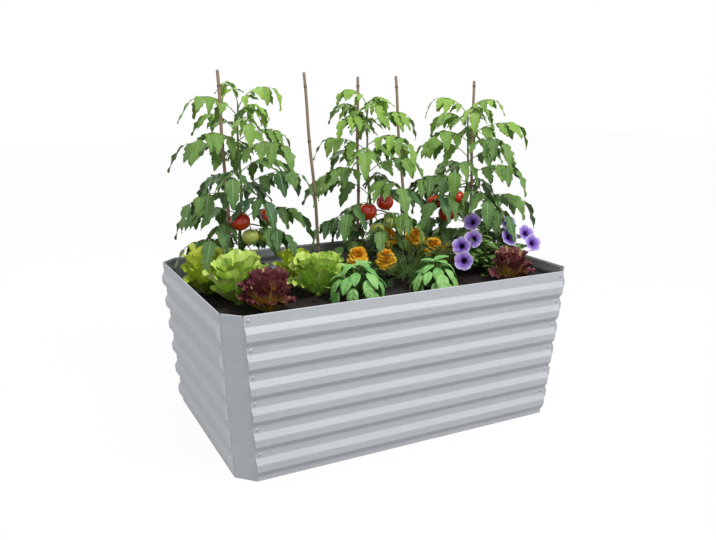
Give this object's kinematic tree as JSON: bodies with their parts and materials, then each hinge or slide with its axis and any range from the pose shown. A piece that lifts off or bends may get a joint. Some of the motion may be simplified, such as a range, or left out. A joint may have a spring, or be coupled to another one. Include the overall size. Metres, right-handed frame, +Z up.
{
  "type": "raised garden bed",
  "caption": "Planted raised garden bed: ribbed metal walls bolted to folded corner pieces, with soil, bamboo canes, tomatoes, salad, herbs and flowers.",
  "frame": {"origin": "on the ground, under the middle of the bed", "axes": "+X along the bed to the right of its front, +Y to the back, +Z up"},
  "size_m": [1.2493, 0.7538, 1.0161],
  "materials": {
    "bamboo": "dried bamboo, satin, darker at the nodes",
    "basil_leaf": "smooth, slightly puckered green leaf",
    "fastener_steel": "zinc-plated, satin",
    "galvanised_sheet": "satin zinc coating, even pale grey, slightly uneven sheen",
    "green_lettuce": "crisp yellow-green leaf, paler ribs",
    "marigold_flowers": "many-petalled orange bloom",
    "marigold_foliage": "dark divided leaf",
    "petunia_flowers": "velvety violet petals with a darker throat",
    "petunia_foliage": "soft hairy green leaf",
    "red_lettuce": "dark red-brown leaf, green towards the heart",
    "soil": "dark moist potting compost, crumbly and matt",
    "tomato_fruit": "glossy fruit, red where ripe and green where not",
    "tomato_leaf": "matt green leaf with paler veins",
    "tomato_stem": "green, finely hairy"
  },
  "bodies": {
    "root": {"back_panel": "galvanised_sheet", "basil_left": "basil_leaf", "basil_right": "basil_leaf", "cane_1": "bamboo", "cane_2": "bamboo", "cane_3": "bamboo", "cane_4": "bamboo", "cane_5": "bamboo", "corner_back_left": "galvanised_sheet", "corner_back_right": "galvanised_sheet", "corner_front_left": "galvanised_sheet", "corner_front_right": "galvanised_sheet", "front_panel": "galvanised_sheet", "left_end_panel": "galvanised_sheet", "lettuce_back": "green_lettuce", "lettuce_back_right": "green_lettuce", "lettuce_centre_left": "green_lettuce", "lettuce_left": "green_lettuce", "lettuce_middle": "green_lettuce", "marigold_flowers": "marigold_flowers", "marigold_foliage": "marigold_foliage", "nuts_back_left": "fastener_steel", "nuts_back_right": "fastener_steel", "nuts_front_left": "fastener_steel", "nuts_front_right": "fastener_steel", "petunia_flowers": "petunia_flowers", "petunia_foliage": "petunia_foliage", "red_lettuce_left": "red_lettuce", "red_lettuce_right": "red_lettuce", "right_end_panel": "galvanised_sheet", "screws_back_left": "fastener_steel", "screws_back_right": "fastener_steel", "screws_front_left": "fastener_steel", "screws_front_right": "fastener_steel", "soil_bed": "soil", "tomato_foliage_left": "tomato_leaf", "tomato_foliage_middle": "tomato_leaf", "tomato_foliage_right": "tomato_leaf", "tomato_fruit_left": "tomato_fruit", "tomato_fruit_middle": "tomato_fruit", "tomato_fruit_right": "tomato_fruit", "tomato_stem_left": "tomato_stem", "tomato_stem_middle": "tomato_stem", "tomato_stem_right": "tomato_stem"}
  },
  "joints": []
}
